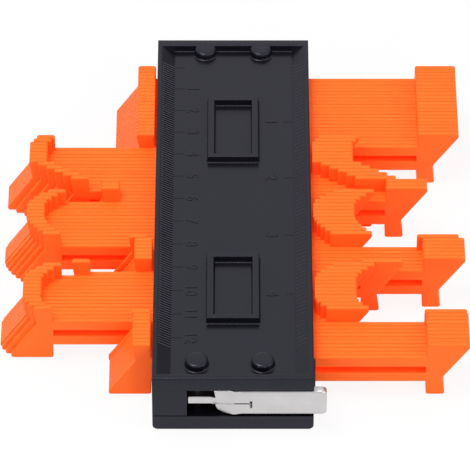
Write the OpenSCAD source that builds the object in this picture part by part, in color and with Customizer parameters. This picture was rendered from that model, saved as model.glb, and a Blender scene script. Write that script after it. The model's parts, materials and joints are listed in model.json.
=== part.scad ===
// Contour gauge: thin leaves slide through a flat body and copy a profile.
// A lever at the front end turns a cam, which clamps the stack of leaves.
// X runs along the leaves, Y along the body with the lever at -Y, and Z is up.
// The origin is at the middle of the underside.

/* [Body] */
// Width of the body, across which the leaves slide
body_w = 46.2; // [44:0.2:54]
// Thickness of the base plate
base_t = 5; // [4:0.1:7]
// Thickness of the cover
cover_t = 5; // [4.4:0.1:7]
// Height of the channel between base and cover
channel_h = 10; // [9:0.1:13]
// Length of the solid block behind the stack
back_len = 12.02; // [10:0.02:16]
// Length of the housing of the lever in front of the stack
front_len = 14; // [13.6:0.1:18]
// Setback of the front corner block behind the cover's front face
block_setback = 0.2; // [0.1:0.1:0.6]
// Rounding of the lower long edges of the base
base_round = 1.5; // [0.5:0.1:2.5]
// Rounding of the upper outer edges of the cover
cover_round = 0.4; // [0.2:0.1:0.8]

/* [Ruler panel] */
// Depth of the panel below the rim of the cover
panel_depth = 2.2; // [1:0.1:2.6]
// Width of the flat rim along each long side
side_rim = 1.6; // [1:0.1:2.4]
// Width of the slope from each side rim down to the panel
slope_w = 3.4; // [2:0.1:4]
// Width of the rim at the back end
back_rim = 2.9; // [2:0.1:4]
// Width of the rim at the front end
front_rim = 2; // [1:0.1:3]
// Width of a raised frame, across the body
frame_w = 15.2; // [10:0.2:20]
// Length of a raised frame, along the body
frame_l = 27.7; // [20:0.1:34]
// Width of the long bars of a frame
frame_bar = 2; // [1:0.1:3]
// Width of the short bars of a frame
frame_end_bar = 1.6; // [1:0.1:3]
// Distance from the back end to the middle of the rear frame
rear_frame_at = 40.7; // [34:0.1:50]
// Distance from the front end to the middle of the front frame
front_frame_at = 39.1; // [34:0.1:50]

/* [Domes and screws] */
// Radius of a dome on the cover
dome_r = 3.35; // [2.8:0.05:4]
// Rounding of the top edge of a dome
dome_round = 0.8; // [0.2:0.1:1.2]
// Fillet around the foot of a dome
dome_fillet = 0.4; // [0.2:0.1:0.8]
// Distance of the three screws from the middle plane
screw_x = 8.5; // [7:0.1:12]
// Distance from the back end to the foot of the rear domes
rear_dome_edge = 0.1; // [0.05:0.05:2]
// Distance from the front end to the front screw and the front domes
front_screw_at = 8.3; // [7.5:0.1:9]
// Diameter of a screw shank
screw_d = 3; // [2.4:0.1:3.4]
// Diameter of a screw head
screw_head_d = 5.4; // [4.6:0.1:6]
// Height of a screw head
screw_head_h = 1.8; // [1.2:0.1:2.4]
// How deep a screw head sits below the underside
screw_sink = 0.4; // [0.2:0.1:0.8]
// Width of the cross slot in a screw head
screw_slot_w = 0.8; // [0.5:0.1:1]
// Wall of the boss around the front screw
boss_wall = 1.25; // [1:0.05:1.4]

/* [Leaves] */
// Thickness of a leaf
leaf_t = 1.48; // [1.2:0.02:1.8]
// Gap between neighbouring leaves
leaf_gap = 0.05; // [0.03:0.01:0.1]
// How far a leaf slides each way from the middle
leaf_travel = 16.2; // [12:0.1:20]
// Distance left between a head and the body at the end of the travel
stop_gap = 0.3; // [0.2:0.05:1]
// Play of a leaf between base and cover
strip_play = 0.4; // [0.2:0.05:0.6]
// Width of the long edge of a head
head_w = 12.3; // [9:0.1:15]
// Height of the blunt tip of a head
head_tip = 1.3; // [1:0.1:3]
// Width of the foot of a head at its neck
neck_w = 4.6; // [3.5:0.1:6]
// Distance of the neck beyond the middle height
neck_drop = 3.2; // [1:0.1:4]
// Extra width of the foot at its free end
foot_flare = 0.9; // [0:0.1:1.2]
// Distance of a foot from the underside of the base
foot_lift = 0.3; // [0.2:0.1:1]
// Rounding of the corners of a head
head_round = 0.7; // [0.3:0.1:0.75]
// Height of the slot in a leaf
slot_h = 2.4; // [1.8:0.1:3.2]
// Distance between the end of the slot and the inner edge of a head
slot_margin = 0.15; // [0.05:0.05:2]

/* [Contour] */
// How far short of its stop a fully pushed leaf stays
contour_margin = 0.2; // [0:0.1:1]
// Number of leaves in the rear flat
rear_flat = 21; // [9:3:30]
// Leaves of the rear hollow: falling, on the floor and rising
rear_hollow = [2, 6, 5]; // [1:1:8]
// Rise of the rear hollow's first and last leaf above its floor
rear_walls = [2, 12.6]; // [1:0.1:14]
// Bow of the rear hollow's walls, where 1 is straight and 2 is round
rear_bow = 1; // [1:0.1:2]
// Number of leaves in the step in front of the rear hollow
step_leaves = 3; // [1:1:6]
// Setback of that step
step_setback = 10.2; // [4:0.1:16]
// Leaves of the middle hollow
middle_hollow = [4, 4, 5]; // [1:1:8]
// Rise of the middle hollow's first and last leaf
middle_walls = [6, 4.9]; // [1:0.1:14]
// Leaves of the front hollow
front_hollow = [4, 6, 3]; // [1:1:8]
// Rise of the front hollow's first and last leaf
front_walls = [5.5, 3.3]; // [1:0.1:14]
// Bow of the walls of the middle and front hollows
front_bow = 1.7; // [1:0.1:2]
// Number of level leaves in the tooth between these hollows
tooth_leaves = 6; // [2:2:10]
// Setback of the leaf behind them
tooth_corner = 1.6; // [0:0.1:4]
// Rise of the single leaf in front of the tooth
lone_rise = 13.9; // [4:0.1:20]
// Number of level leaves in the front flat
front_flat = 9; // [3:2:15]
// Setback of the leaf behind them
flat_corner = 0.3; // [0:0.1:2]

/* [Guide bars] */
// Distance of each guide bar from the side of the body
guide_inset = 4.5; // [3.6:0.1:5]
// Width of a guide bar
guide_w = 3.6; // [2.4:0.1:4]
// Play of a guide bar in the slots, above and below
guide_play = 0.2; // [0.1:0.05:0.4]
// Depth that a guide bar sits in its sockets
guide_seat = 5; // [3:0.1:8]
// Clearance around a guide bar in its sockets
seat_fit = 0.05; // [0.02:0.01:0.1]

/* [Lock] */
// Thickness of the pressure plate
plate_t = 2.7; // [2:0.1:3]
// How far the pressure plate shows at the right side
plate_reach = 0.6; // [0:0.1:1.5]
// Distance of the lever pin from the middle plane
pin_x = 10.4; // [9:0.1:11]
// Distance of the lever pin from the clamped pressure plate
pin_at = 4.8; // [4:0.1:5]
// Diameter of the lever pin
pin_d = 3; // [2:0.1:3.4]
// How deep the pin sits in the base
pin_sink = 3; // [2:0.1:3.4]
// Clearance between pin and lever
pin_fit = 0.05; // [0.02:0.01:0.1]
// Offset of the cam from the pin
cam_offset = 0.35; // [0.2:0.05:0.5]
// Gap between cam and clamped pressure plate
cam_gap = 0.1; // [0.05:0.05:0.2]
// Thickness of the cam
cam_t = 2.6; // [2:0.1:3.5]
// How far the middle of the cam lies above the middle of the channel
cam_rise = -0.4; // [-1:0.1:1]
// Opening angle of the lever
lever_open = 50; // [30:1:55]
// Sheet thickness of the lever
lever_t = 0.8; // [0.6:0.1:1.2]
// Depth of the lever's flanges
flange_d = 2.3; // [1.4:0.1:3]
// Bend radius of the lever's sheet
bend_r = 0.7; // [0.3:0.1:1]
// Play of the lever between base and cover
lever_play = 0.45; // [0.3:0.05:0.8]
// Setback of the lever from the front end
lever_setback = 0.2; // [0.1:0.1:0.8]
// How far the tab sticks out at the right side
tab_reach = 3.7; // [2:0.1:6]
// Rounding of the tab
tab_round = 1.4; // [0.5:0.1:2.5]
// Length of the lever's tongue to the left of the pin
tongue_left = 2.5; // [1.5:0.1:2.7]
// Clearance of the tongue behind the recess wall
tongue_gap = 0.3; // [0.2:0.1:0.8]
// Length of the tongue from the pin to the shoulder
shoulder_at = 4.7; // [3:0.1:6]
// Length of the slope from the shoulder to the front of the lever
slope_l = 6.2; // [4:0.1:9]
// Rounding of the lower corner of the shoulder
shoulder_round = 2.2; // [0.5:0.1:3]
// Length of the pressed pocket beside the slope
pocket_l = 5.1; // [3:0.1:8]
// Height of that pocket
pocket_h = 2.4; // [1:0.1:3]
// Depth of that pocket
pocket_d = 0.5; // [0.2:0.1:0.5]
// Distance of the pocket's middle below the middle of the channel
pocket_drop = 0.7; // [0:0.1:1.5]
// Thickness of the wall in front of the cam's recess
recess_wall = 1.5; // [1:0.1:2]
// Width of the lever's recess to the left of the pin
recess_left = 2.8; // [2.8:0.1:3.4]
// Clearance around the turning cam
sweep_gap = 0.4; // [0.3:0.05:0.8]
// Width of the post that holds the right guide bar
post_w = 6.4; // [5:0.1:7]

/* [Hidden] */
// Segments of a rounded corner
corner_steps = 3;
$fn = 48;
// Sunk past a face so that cuts and joins are clean
eps = 0.02;

mid_z = base_t + channel_h / 2;
cover_z = base_t + channel_h;
body_h = cover_z + cover_t;
panel_z = body_h - panel_depth;

// Leaf sizes
strip_half = channel_h / 2 - strip_play;
head_half = mid_z - foot_lift;
head_x = body_w / 2 + leaf_travel + stop_gap;
tip_x = head_x + head_w;
guide_x = body_w / 2 - guide_inset;
slot_half_l = head_x - slot_margin;
pitch = leaf_t + leaf_gap;

// The contour that the leaves show, from the back to the front.
// Each entry is the shift of a bundle of leaves and the number of leaves in it.
reach = leaf_travel - contour_margin;
bundle = 2;
wide_bundle = 3;

// Leaves that stand level at one shift, in bundles of the given size
function level(leaves, shift, size = 1) =
    [for (i = [1 : leaves / size]) [shift, size]];

// A hollow: leaves fall to its floor, stay there, and rise again.
// Each wall rises by a power of the distance from the floor.
function hollow(leaves, walls, bow) = concat(
    [for (i = [leaves[0] : -1 : 1]) [walls[0] * pow(i / leaves[0], bow) - reach, 1]],
    level(leaves[1], -reach, bundle),
    [for (i = [1 : leaves[2]]) [walls[1] * pow(i / leaves[2], bow) - reach, 1]]);

bundles = concat(
    level(rear_flat, reach, wide_bundle),
    hollow(rear_hollow, rear_walls, rear_bow),
    level(step_leaves, reach - step_setback, step_leaves),
    hollow(middle_hollow, middle_walls, front_bow),
    level(1, reach - tooth_corner),
    level(tooth_leaves, reach, bundle),
    level(1, lone_rise - reach),
    hollow(front_hollow, front_walls, front_bow),
    level(1, reach - flat_corner),
    level(1, reach),
    level(front_flat - 1, reach, bundle));

function leaves_before(i) = i == 0 ? 0 : leaves_before(i - 1) + bundles[i - 1][1];
leaf_count = leaves_before(len(bundles));

// Places along the body
stack_l = leaf_count * pitch + leaf_gap;
body_l = back_len + stack_l + front_len;
back_y = body_l / 2;
front_y = -body_l / 2;
stack_back_y = back_y - back_len;
stack_front_y = front_y + front_len;
plate_front_y = stack_front_y - plate_t;
function leaf_back_y(k) = stack_back_y - leaf_gap - k * pitch;
rear_screw_y = back_y - rear_dome_edge - dome_fillet - dome_r;
front_screw_y = front_y + front_screw_at;
screws = [[-screw_x, rear_screw_y], [screw_x, rear_screw_y], [screw_x, front_screw_y]];
domes = concat(screws, [[-pin_x, front_screw_y]]);

// Lock sizes
cam_angle = 45;
pin_y = plate_front_y - pin_at;
cam_shift = cam_offset * [cos(cam_angle), sin(cam_angle)];
cam_r = pin_at - cam_gap - cam_shift.y;
plate_travel = cam_offset * (sin(cam_angle) - sin(cam_angle - lever_open));
cam_z = mid_z + cam_rise;
lever_front = front_y + lever_setback - pin_y;
tongue_front = front_y + recess_wall + tongue_gap - pin_y;
sweep_r = max(norm([tongue_left, tongue_front]), cam_r + cam_offset) + sweep_gap;
post_back_y = plate_front_y - plate_travel - sweep_gap;
block_edge_x = -pin_x - sweep_r;
block_front_y = front_y + block_setback;
pin_grip = (cover_t - panel_depth) / 2;

// Screw sizes
screw_seat_z = screw_sink + screw_head_h;
screw_grip = panel_depth / 2;

// Points of the arc that rounds corner b between its neighbours a and c
function corner_arc(a, b, c, r) =
    let (u = (a - b) / norm(a - b), w = (c - b) / norm(c - b), half = acos(u * w) / 2)
    let (p = b + u * r / tan(half), q = b + w * r / tan(half))
    let (m = b + (u + w) / norm(u + w) * r / sin(half))
    let (start = atan2(p.y - m.y, p.x - m.x), end = atan2(q.y - m.y, q.x - m.x))
    let (turn = (end - start + 540) % 360 - 180)
    [for (i = [0 : corner_steps]) let (t = start + turn * i / corner_steps) m + r * [cos(t), sin(t)]];

// Outline through corners given as [x, y, radius]
function rounded(corners) =
    let (n = len(corners), at = [for (c = corners) [c.x, c.y]])
    [for (i = [0 : n - 1]) each corners[i].z > 0
        ? corner_arc(at[(i + n - 1) % n], at[i], at[(i + 1) % n], corners[i].z)
        : [at[i]]];

// Half of the leaf's outline: the strip's top edge ends in the right head
half_leaf = [
    [head_x, strip_half, 0],
    [head_x, head_half, head_round],
    [tip_x, head_half, head_round],
    [tip_x, head_half - head_tip, head_round],
    [head_x + neck_w, -neck_drop, 0],
    [head_x + neck_w + foot_flare, -head_half, head_round],
    [head_x, -head_half, head_round],
    [head_x, -strip_half, 0]];

// The other half is the same, turned by half a turn
leaf_outline = rounded(concat(half_leaf, [for (c = half_leaf) [-c.x, -c.y, c.z]]));

function leaf_name(i) = str("leaf_", i < 9 ? "0" : "", i + 1);

// A block between two corners
module block(low, high) {
    translate(low) cube(high - low);
}

// An outline in X and Z, carried from y_low to y_high
module along_y(y_low, y_high) {
    translate([0, y_high, 0]) rotate([90, 0, 0]) linear_extrude(y_high - y_low) children();
}

// An outline in Y and Z, carried from x_low to x_high
module along_x(x_low, x_high) {
    translate([x_low, 0, 0]) rotate([90, 0, 90]) linear_extrude(x_high - x_low) children();
}

// Space for one guide bar and its clearance
module guide_space(x, fit) {
    half = [guide_w / 2 + fit, slot_h / 2 - guide_play + fit];
    translate([x, 0, mid_z])
        block([-half.x, post_back_y - guide_seat - fit, -half.y],
              [half.x, stack_back_y + guide_seat + fit, half.y]);
}

// Base: plate, rear block, front corner block, screw boss and guide post
module base_shell() {
    color([0.2, 0.2, 0.22]) difference() {
        union() {
            base_plate();
            block([-body_w / 2, stack_back_y, base_t - eps], [body_w / 2, back_y, cover_z]);
            block([-body_w / 2, block_front_y, base_t - eps], [block_edge_x, post_back_y, cover_z]);
            block([-body_w / 2, block_front_y, base_t - eps],
                  [-pin_x - recess_left, front_y + recess_wall, cover_z]);
            block([guide_x - post_w / 2, post_back_y - guide_seat - recess_wall, base_t - eps],
                  [guide_x + post_w / 2, post_back_y, cover_z]);
            screw_boss();
        }
        for (p = screws) translate([p.x, p.y, 0]) screw_space(cover_z + eps);
        for (x = [-guide_x, guide_x]) guide_space(x, seat_fit);
        translate([-pin_x, pin_y, base_t - pin_sink]) cylinder(d = pin_d + 2 * seat_fit, h = body_h);
    }
}

// The base's plate with rounded lower edges
module base_plate() {
    half = body_w / 2;
    along_y(front_y, back_y) polygon(rounded([
        [-half, base_t, 0], [-half, 0, base_round], [half, 0, base_round], [half, base_t, 0]]));
}

// Boss around the front screw, cut flat where the pressure plate moves
module screw_boss() {
    boss_r = screw_d / 2 + boss_wall;
    intersection() {
        translate([screw_x, front_screw_y, base_t - eps]) cylinder(r = boss_r, h = channel_h + eps);
        block([screw_x - boss_r - eps, front_y, 0], [screw_x + boss_r + eps, post_back_y, body_h]);
    }
}

// Hole for one screw, up to a given height, with a sunk seat for its head
module screw_space(top) {
    cylinder(d = screw_d + 2 * seat_fit, h = top);
    translate([0, 0, -eps]) cylinder(d = screw_head_d + 4 * seat_fit, h = screw_seat_z + eps);
}

// Cover: plate with a sunk ruler panel, two frames and four domes
module top_cover() {
    half = body_w / 2;
    screw_top = panel_z + screw_grip;
    color([0.2, 0.2, 0.22]) difference() {
        union() {
            difference() {
                along_y(front_y, back_y) polygon(rounded([
                    [-half, cover_z, 0], [half, cover_z, 0],
                    [half, body_h, cover_round], [-half, body_h, cover_round]]));
                panel_cut();
            }
            raised_frame(back_y - rear_frame_at);
            raised_frame(front_y + front_frame_at);
            for (p = domes) translate([p.x, p.y, panel_z]) dome();
        }
        for (p = screws) translate([p.x, p.y, cover_z - eps])
            cylinder(d = screw_d + 2 * seat_fit, h = screw_top - cover_z + 2 * seat_fit);
        translate([-pin_x, pin_y, cover_z - eps])
            cylinder(d = pin_d + 2 * seat_fit, h = pin_grip + 2 * seat_fit);
    }
}

// The sunk panel, with a slope along each side
module panel_cut() {
    floor_half = body_w / 2 - side_rim - slope_w;
    grow = eps * slope_w / panel_depth;
    along_y(front_y + front_rim, back_y - back_rim) polygon([
        [-floor_half, panel_z], [floor_half, panel_z],
        [floor_half + slope_w + grow, body_h + eps], [-floor_half - slope_w - grow, body_h + eps]]);
}

// A raised rectangular frame on the panel
module raised_frame(y) {
    outer = [frame_w / 2, frame_l / 2];
    inner = outer - [frame_bar, frame_end_bar];
    translate([0, y, 0]) difference() {
        block([-outer.x, -outer.y, panel_z - eps], [outer.x, outer.y, body_h]);
        block([-inner.x, -inner.y, panel_z - 2 * eps], [inner.x, inner.y, body_h + eps]);
    }
}

// A round dome with a soft top edge and a fillet at its foot
module dome() {
    profile = rounded([
        [0, -eps, 0], [dome_r + dome_fillet, -eps, 0], [dome_r + dome_fillet, 0, 0],
        [dome_r, dome_fillet, 0], [dome_r, panel_depth, dome_round], [0, panel_depth, 0]]);
    rotate_extrude() polygon(profile);
}

// A flat bar that runs through the slots of all leaves
module guide_bar(x) {
    color([0.62, 0.63, 0.65]) guide_space(x, 0);
}
module guide_bar_left() { guide_bar(-guide_x); }
module guide_bar_right() { guide_bar(guide_x); }

// Three screws that hold the cover, put in from below
module case_screws() {
    color([0.55, 0.56, 0.58]) for (p = screws) translate([p.x, p.y, 0]) case_screw();
}

module case_screw() {
    head_z = screw_seat_z - screw_head_h;
    slot_d = screw_head_h / 2;
    difference() {
        union() {
            translate([0, 0, head_z]) cylinder(d = screw_head_d, h = screw_head_h);
            translate([0, 0, head_z]) cylinder(d = screw_d, h = panel_z + screw_grip - head_z);
        }
        for (size = [[screw_d, screw_slot_w], [screw_slot_w, screw_d]])
            translate([-size.x / 2, -size.y / 2, head_z - eps]) cube([size.x, size.y, slot_d]);
    }
}

// Plate that squeezes the stack, with a slot for each guide bar
module pressure_plate() {
    slot_half_w = guide_w / 2 + stop_gap;
    color([0.16, 0.16, 0.18]) difference() {
        block([-body_w / 2, plate_front_y, mid_z - strip_half],
              [body_w / 2 + plate_reach, stack_front_y, mid_z + strip_half]);
        for (x = [-guide_x, guide_x])
            block([x - slot_half_w, plate_front_y - eps, mid_z - slot_h / 2],
                  [x + slot_half_w, stack_front_y + eps, mid_z + slot_h / 2]);
    }
}

// Steel lever: a folded sheet with a narrow tongue, and the cam behind it
module lock_lever() {
    color([0.78, 0.78, 0.8]) difference() {
        union() {
            lever_sheet();
            translate([-pin_x, pin_y, cam_z - cam_t / 2]) cam();
        }
        translate([-pin_x, pin_y, 0]) cylinder(d = pin_d + 2 * pin_fit, h = body_h);
    }
}

// The folded sheet: a channel along the front, and a slope back to the tongue
module lever_sheet() {
    low = base_t + lever_play;
    high = cover_z - lever_play;
    left = -pin_x + shoulder_at;
    slope_x = left + slope_l;
    right = body_w / 2 + tab_reach;
    front = pin_y + lever_front;
    tongue = pin_y + tongue_front;
    pocket_z = mid_z - pocket_drop;
    intersection() {
        union() {
            difference() {
                along_x(slope_x, right) polygon(rounded([
                    [front, low, bend_r], [front + flange_d, low, 0],
                    [front + flange_d, high, 0], [front, high, bend_r]]));
                along_x(slope_x - eps, right - lever_t) polygon([
                    [front + lever_t, low + lever_t], [front + flange_d + eps, low + lever_t],
                    [front + flange_d + eps, high - lever_t], [front + lever_t, high - lever_t]]);
                block([slope_x + lever_t, front - eps, pocket_z - pocket_h / 2],
                      [slope_x + pocket_l, front + pocket_d, pocket_z + pocket_h / 2]);
            }
            translate([0, 0, low]) linear_extrude(high - low) polygon([
                [left, tongue], [slope_x, front], [slope_x + eps, front],
                [slope_x + eps, front + lever_t], [left, tongue + lever_t]]);
        }
        along_y(front - eps, tongue + lever_t + eps) polygon(rounded([
            [left, low, shoulder_round], [right, low, tab_round],
            [right, high, tab_round], [left, high, 0]]));
    }
}

// The cam turns about the pin and carries the sheet at its front
module cam() {
    slope_end = shoulder_at + slope_l;
    sheet_mid = lever_front + lever_t / 2;
    sheet_back = lever_front + flange_d;
    linear_extrude(cam_t) polygon([
        [-tongue_left, tongue_front], [shoulder_at, tongue_front], [slope_end, sheet_mid],
        [slope_end, sheet_back], [cam_r / sqrt(2), cam_r / 2], [-tongue_left, cam_r / 2]]);
    translate(cam_shift) cylinder(r = cam_r, h = cam_t);
}

// Pin that the lever turns on, held in base and cover
module lever_pin() {
    color([0.6, 0.61, 0.63]) translate([-pin_x, pin_y, base_t - pin_sink])
        cylinder(d = pin_d, h = pin_sink + channel_h + pin_grip);
}

// A bundle of leaves that stand at the same shift
module leaf_bundle(i) {
    color([1, 0.36, 0.1]) for (k = [0 : bundles[i][1] - 1])
        translate([bundles[i][0], leaf_back_y(leaves_before(i) + k), mid_z]) leaf();
}

// One leaf: strip, long slot and two heads
module leaf() {
    along_y(-leaf_t, 0) difference() {
        polygon(leaf_outline);
        square([2 * slot_half_l, slot_h], center = true);
    }
}

base_shell();
top_cover();
guide_bar_left();
guide_bar_right();
case_screws();
pressure_plate();
lock_lever();
lever_pin();
for (i = [0 : len(bundles) - 1])
    leaf_bundle(i);
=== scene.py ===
# %% [markdown]
# # A contour gauge, dressed for its portrait
#
# A contour gauge copies a profile: thin plastic leaves slide through a flat
# body, and a steel lever at one end clamps them. The working model is already
# built and comes in as a fixed frame. These cells give it the looks: moulded
# edges, the ruler, the stamped lever, the plastics and the light.

# %% Load the frame
import json

import bpy
import numpy as np
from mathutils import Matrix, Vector

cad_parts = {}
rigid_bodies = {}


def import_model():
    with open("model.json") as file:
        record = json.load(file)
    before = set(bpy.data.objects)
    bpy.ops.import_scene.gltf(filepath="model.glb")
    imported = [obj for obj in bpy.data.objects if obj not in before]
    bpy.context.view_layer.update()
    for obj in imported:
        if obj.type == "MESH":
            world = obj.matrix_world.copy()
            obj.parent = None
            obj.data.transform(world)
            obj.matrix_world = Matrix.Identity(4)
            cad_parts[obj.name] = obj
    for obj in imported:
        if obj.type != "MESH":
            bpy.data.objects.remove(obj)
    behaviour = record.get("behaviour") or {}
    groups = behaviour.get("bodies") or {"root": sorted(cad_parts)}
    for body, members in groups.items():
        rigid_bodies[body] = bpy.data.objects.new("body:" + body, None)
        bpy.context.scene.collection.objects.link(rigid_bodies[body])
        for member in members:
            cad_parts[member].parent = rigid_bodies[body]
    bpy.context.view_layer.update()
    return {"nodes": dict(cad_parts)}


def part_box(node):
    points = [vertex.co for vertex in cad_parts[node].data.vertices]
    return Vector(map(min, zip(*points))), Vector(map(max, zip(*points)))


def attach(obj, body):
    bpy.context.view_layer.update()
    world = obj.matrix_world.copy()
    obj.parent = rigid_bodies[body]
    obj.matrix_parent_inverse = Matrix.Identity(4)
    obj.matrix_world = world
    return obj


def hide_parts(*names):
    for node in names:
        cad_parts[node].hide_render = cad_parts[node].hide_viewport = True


MM = 0.001

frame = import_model()
nodes = frame["nodes"]

# %% [markdown]
# ## Sizes taken from the frame
#
# The places of the main forms follow the boxes of the loaded nodes. Sizes that
# the boxes can't tell, such as the width of a frame or an edge rounding, are
# written out where they are first needed, in millimetres.

# %% Main sizes, in millimetres


def node_box(name):
    """Lowest and highest corner of a node, in millimetres, as two arrays."""
    low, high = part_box(name)
    return np.array(low) / MM, np.array(high) / MM


cover_low, cover_high = node_box("top_cover")
half_w = cover_high[0]
front_y, back_y = cover_low[1], cover_high[1]
cover_z, top_z = cover_low[2], cover_high[2]
mid_z = top_z / 2
pin_x, pin_y = np.mean(node_box("lever_pin"), axis=0)[:2]
leaf_names = sorted(name for name in nodes if name.startswith("leaf_"))
print("body:", 2 * half_w, back_y - front_y, top_z, "leaf nodes:", len(leaf_names))

# %% [markdown]
# ## Helpers that turn arrays into meshes
#
# A surface is a grid of points, so its faces follow from the grid's shape
# alone. These helpers number the faces, add the mesh to the scene and tie it to
# the body that carries it. Edges that turn by more than a given angle stay
# sharp in the shading, and all others are smooth.

# %% Mesh helpers

WELD_REACH = 0.001
BEVEL_SEGMENTS = 2


def faces_between(index, wrap=False, close=False):
    """Quads between neighbouring rows and columns of an array of point numbers.

    With wrap the last column joins the first again, which makes rings. With
    close the last row joins the first as well.
    """
    if wrap:
        index = np.column_stack([index, index[:, 0]])
    if close:
        index = np.vstack([index, index[:1]])
    quads = [index[:-1, :-1], index[:-1, 1:], index[1:, 1:], index[1:, :-1]]
    return np.stack(quads, axis=-1).reshape(-1, 4).tolist()


def grid_faces(rows, columns, start=0, **joined):
    """Quads of a grid whose point (r, c) has the number start + r * columns + c."""
    return faces_between(start + np.arange(rows * columns).reshape(rows, columns), **joined)


def join(parts):
    """One list of points and one of faces from several (points, faces) pairs."""
    points, faces, start = [], [], 0
    for part_points, part_faces in parts:
        flat = np.asarray(part_points, float).reshape(-1, 3)
        points.append(flat)
        faces += [[start + i for i in face] for face in part_faces]
        start += len(flat)
    return np.concatenate(points), faces


def add_piece(name, points, faces, material, body, slot, sharp_deg=30):
    """A mesh object from points in millimetres, riding on a body."""
    mesh = bpy.data.meshes.new(name)
    mesh.from_pydata((np.asarray(points).reshape(-1, 3) * MM).tolist(), [], faces)
    mesh.validate()
    mesh.polygons.foreach_set("use_smooth", np.ones(len(mesh.polygons), bool))
    mesh.set_sharp_from_angle(angle=np.radians(sharp_deg))
    mesh.materials.append(material)
    piece = bpy.data.objects.new(name, mesh)
    bpy.context.scene.collection.objects.link(piece)
    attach(piece, body)
    return piece


def weld(piece):
    """Merges points that lie on each other."""
    piece.modifiers.new("weld", "WELD").merge_threshold = WELD_REACH * MM


def soften(piece, width, angle_deg=35):
    """Rounds the edges that turn by more than the angle, to a width in millimetres."""
    bevel = piece.modifiers.new("soft_edges", "BEVEL")
    bevel.width = width * MM
    bevel.segments = BEVEL_SEGMENTS
    bevel.angle_limit = np.radians(angle_deg)


# %% [markdown]
# ## Finishes
#
# The gauge has orange leaves with a satin gloss and a faint red glow of painted
# light, a charcoal body with the fine grain of a spark-eroded mould, a bright
# stamped lever, and dark steel inside, darkened further as painted shade where
# the pin sits in the lever's cavity. The ruler's ridges are painted paler than
# the body as a painted highlight, and the grooves between them hold duller,
# darker strips of painted shade. Each finish is one Principled shader whose
# colour, roughness and bump come from noise in object coordinates, in metres.

# %% Node helpers


def new_material(name):
    """A material with its node tree, its Principled shader and object coordinates."""
    material = bpy.data.materials.new(name)
    material.use_nodes = True
    tree = material.node_tree
    shader = tree.nodes["Principled BSDF"]
    place = tree.nodes.new("ShaderNodeTexCoord").outputs["Object"]
    return material, tree, shader, place


def stretched(tree, place, scale):
    """The coordinates multiplied by a scale for each axis."""
    mapping = tree.nodes.new("ShaderNodeMapping")
    mapping.inputs["Scale"].default_value = scale
    tree.links.new(place, mapping.inputs["Vector"])
    return mapping.outputs["Vector"]


def noise(tree, vector, scale, detail):
    """A noise value around one half; scale is in waves per metre."""
    texture = tree.nodes.new("ShaderNodeTexNoise")
    texture.inputs["Scale"].default_value = scale
    texture.inputs["Detail"].default_value = detail
    tree.links.new(vector, texture.inputs["Vector"])
    return texture.outputs["Fac"]


def spread(tree, value, low, high):
    """The value, from a quarter to three quarters, carried to low and high."""
    ranged = tree.nodes.new("ShaderNodeMapRange")
    ranged.inputs["From Min"].default_value = 0.25
    ranged.inputs["From Max"].default_value = 0.75
    ranged.inputs["To Min"].default_value = low
    ranged.inputs["To Max"].default_value = high
    tree.links.new(value, ranged.inputs["Value"])
    return ranged.outputs["Result"]


def combined(tree, operation, first, second):
    """Two values put together by a Math node."""
    math = tree.nodes.new("ShaderNodeMath")
    math.operation = operation
    tree.links.new(first, math.inputs[0])
    tree.links.new(second, math.inputs[1])
    return math.outputs["Value"]


def tinted(tree, value, dark, light):
    """A colour between dark and light, mixed by the value."""
    mix = tree.nodes.new("ShaderNodeMix")
    mix.data_type = "RGBA"
    mix.inputs["A"].default_value = (*dark, 1)
    mix.inputs["B"].default_value = (*light, 1)
    tree.links.new(value, mix.inputs["Factor"])
    return mix.outputs["Result"]


def bumped(tree, shader, height, distance, strength):
    """Bump of the given height in metres on the shader's normal."""
    bump = tree.nodes.new("ShaderNodeBump")
    bump.inputs["Distance"].default_value = distance
    bump.inputs["Strength"].default_value = strength
    tree.links.new(height, bump.inputs["Height"])
    tree.links.new(bump.outputs["Normal"], shader.inputs["Normal"])


# %% Charcoal plastic of the body

GRAIN_WAVES = 2600
GRAIN_HEIGHT = 0.00003
CLOUD_WAVES = 60
CHARCOAL_ROUGH = (0.22, 0.32)
CHARCOAL_TINT = (0.77, 0.77, 1.0, 1)


def charcoal_plastic(name, dark, light, gloss=0.4):
    """Moulded black plastic: a fine grain, with faint cloudy wear in its gloss."""
    material, tree, shader, place = new_material(name)
    grain = noise(tree, place, GRAIN_WAVES, detail=3)
    cloud = noise(tree, place, CLOUD_WAVES, detail=4)
    tree.links.new(tinted(tree, spread(tree, cloud, 0, 1), dark, light), shader.inputs["Base Color"])
    tree.links.new(spread(tree, cloud, *CHARCOAL_ROUGH), shader.inputs["Roughness"])
    shader.inputs["Specular IOR Level"].default_value = gloss
    shader.inputs["Specular Tint"].default_value = CHARCOAL_TINT
    bumped(tree, shader, grain, GRAIN_HEIGHT, strength=0.4)
    return material


housing_plastic = charcoal_plastic("housing_plastic", (0.0036, 0.0036, 0.0058), (0.0054, 0.0054, 0.0082))
plate_plastic = charcoal_plastic("plate_plastic", (0.0030, 0.0030, 0.0046), (0.0046, 0.0046, 0.0066))
# Painted highlight: a paler plastic for the ruler's ridges, so that they show light lines in place of
# glints.
painted_highlight_plastic = charcoal_plastic("painted_highlight_plastic", (0.073, 0.073, 0.085), (0.099, 0.099, 0.114))
# Painted shade: a dark plastic with little gloss for strips in the grooves between the millimetre ridges.
painted_groove_shade_plastic = charcoal_plastic(
    "painted_groove_shade_plastic", (0.004, 0.004, 0.005), (0.006, 0.006, 0.007), gloss=0.12)

# %% Orange plastic of the leaves

LEAF_PITCH = 1.53
TONES_PER_LEAF = 1.3
FLOW_WAVES = 220
FLOW_STRETCH = (0.3, 1, 1)
LEAF_DARK = (0.97, 0.164, 0.021)
LEAF_LIGHT = (1.0, 0.204, 0.027)
LEAF_ROUGH = (0.38, 0.48)
LEAF_GRAIN_WAVES = 1500
LEAF_GRAIN_HEIGHT = 0.00002


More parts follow.
